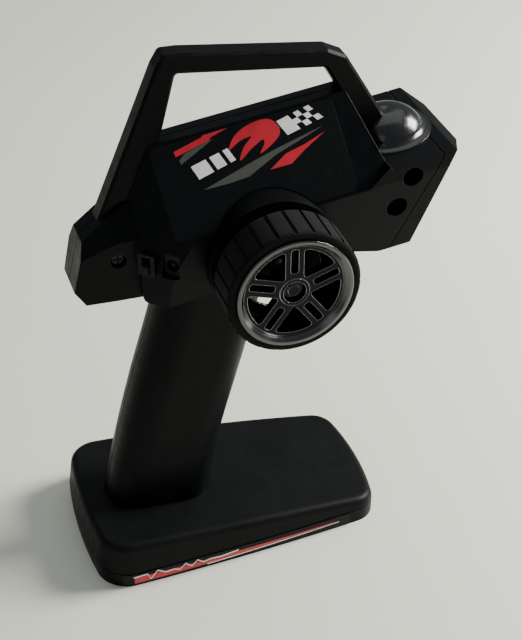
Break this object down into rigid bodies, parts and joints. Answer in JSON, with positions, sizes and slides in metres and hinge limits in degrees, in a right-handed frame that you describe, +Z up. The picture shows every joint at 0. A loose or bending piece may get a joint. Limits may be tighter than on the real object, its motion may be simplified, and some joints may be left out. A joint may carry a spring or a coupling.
{
  "type": "radio transmitter controller",
  "caption": "Black pistol-grip radio controller for model cars: faceted head with carry handle, chrome-rimmed side steering wheel, loop trigger, control dials and a wide battery base",
  "frame": {"origin": "on the mid-plane at the middle of the base's flat underside", "axes": "+X toward the nose (front), +Y toward the side without the wheel, +Z up"},
  "size_m": [0.1804, 0.1052, 0.2536],
  "materials": {
    "case_plastic": "satin",
    "handle_plastic": "satin",
    "base_plastic": "satin",
    "dome_plastic": "gloss",
    "rim_chrome": "polished",
    "tyre_foam": "matte",
    "bright_steel": "brushed",
    "board_green": "satin",
    "chip_black": "matte",
    "pot_shell": "satin",
    "decal_film": "semi-gloss print",
    "strip_film": "semi-gloss print",
    "panel_plastic": "satin",
    "dial_plastic": "satin",
    "button_red": "gloss",
    "lens_green": "gloss",
    "cell_wrap": "gloss",
    "contact_steel": "bright",
    "foot_rubber": "matte",
    "trigger_plastic": "satin"
  },
  "bodies": {
    "case": {"case_right": "case_plastic", "case_left": "case_plastic", "nose_cap": "case_plastic", "carry_handle": "handle_plastic", "antenna_dome": "dome_plastic", "antenna_board": "board_green", "wheel_housing": "case_plastic", "base_upper": "base_plastic", "base_lower": "base_plastic", "base_strips": "strip_film", "side_decal": "decal_film", "battery_tray": "panel_plastic", "battery_cells": "cell_wrap", "battery_contacts": "contact_steel", "steering_pot": "pot_shell", "steering_spring": "bright_steel", "trigger_pin": "bright_steel", "trigger_spring": "bright_steel", "throttle_pot": "pot_shell", "main_board": "board_green", "board_parts": "chip_black", "control_panel": "panel_plastic", "trim_pots": "pot_shell", "status_lenses": "lens_green", "switch_bezel": "panel_plastic", "charge_jack": "chip_black", "rubber_feet": "foot_rubber", "case_screws": "bright_steel", "base_screws": "bright_steel"},
    "steering_wheel": {"wheel_rim": "rim_chrome", "wheel_tyre": "tyre_foam", "wheel_shaft": "bright_steel", "wheel_nut": "rim_chrome"},
    "trigger_lever": {"trigger": "trigger_plastic"},
    "steering_trim": {"steering_trim_dial": "dial_plastic"},
    "throttle_trim": {"throttle_trim_dial": "dial_plastic"},
    "steering_rate": {"steering_rate_dial": "dial_plastic"},
    "steering_reverse": {"steering_reverse_switch": "dial_plastic"},
    "throttle_reverse": {"throttle_reverse_switch": "dial_plastic"},
    "bind": {"bind_button": "button_red"},
    "power_slider": {"switch_slider": "dial_plastic"},
    "battery_hatch": {"battery_door": "base_plastic"}
  },
  "joints": [
    {"name": "steering_turn", "type": "hinge", "parent": "case", "child": "steering_wheel", "pos_m": [0.012, -0.05, 0.166], "axis": [0, -1, 0], "range_deg": [-38, 38], "stiffness_Nm_per_rad": 0.12},
    {"name": "trigger_pull", "type": "hinge", "parent": "case", "child": "trigger_lever", "pos_m": [0.037, 0, 0.165], "axis": [0, 1, 0], "range_deg": [-8, 12], "stiffness_Nm_per_rad": 0.25},
    {"name": "steering_trim_turn", "type": "hinge", "parent": "case", "child": "steering_trim", "pos_m": [-0.0076, 0.02153, 0.19513], "axis": [-0.0748, 0.8082, 0.5841], "range_deg": [-135, 135]},
    {"name": "throttle_trim_turn", "type": "hinge", "parent": "case", "child": "throttle_trim", "pos_m": [0.01025, 0.02153, 0.19742], "axis": [-0.0748, 0.8082, 0.5841], "range_deg": [-135, 135]},
    {"name": "steering_rate_turn", "type": "hinge", "parent": "case", "child": "steering_rate", "pos_m": [0.02811, 0.02153, 0.19971], "axis": [-0.0748, 0.8082, 0.5841], "range_deg": [-135, 135]},
    {"name": "steering_reverse_slide", "type": "slide", "parent": "case", "child": "steering_reverse", "axis": [0.1027, 0.5889, -0.8017], "range_m": [0, 0.0026]},
    {"name": "throttle_reverse_slide", "type": "slide", "parent": "case", "child": "throttle_reverse", "axis": [0.1027, 0.5889, -0.8017], "range_m": [0, 0.0026]},
    {"name": "bind_press", "type": "slide", "parent": "case", "child": "bind", "axis": [0.0748, -0.8082, -0.5841], "range_m": [0, 0.0008], "stiffness_N_per_m": 200},
    {"name": "power_slide", "type": "slide", "parent": "case", "child": "power_slider", "axis": [0, 0, 1], "range_m": [0, 0.0036]},
    {"name": "hatch_swing", "type": "hinge", "parent": "case", "child": "battery_hatch", "pos_m": [-0.0646, 0, 0.001], "axis": [0, 1, 0], "range_deg": [0, 85]}
  ]
}
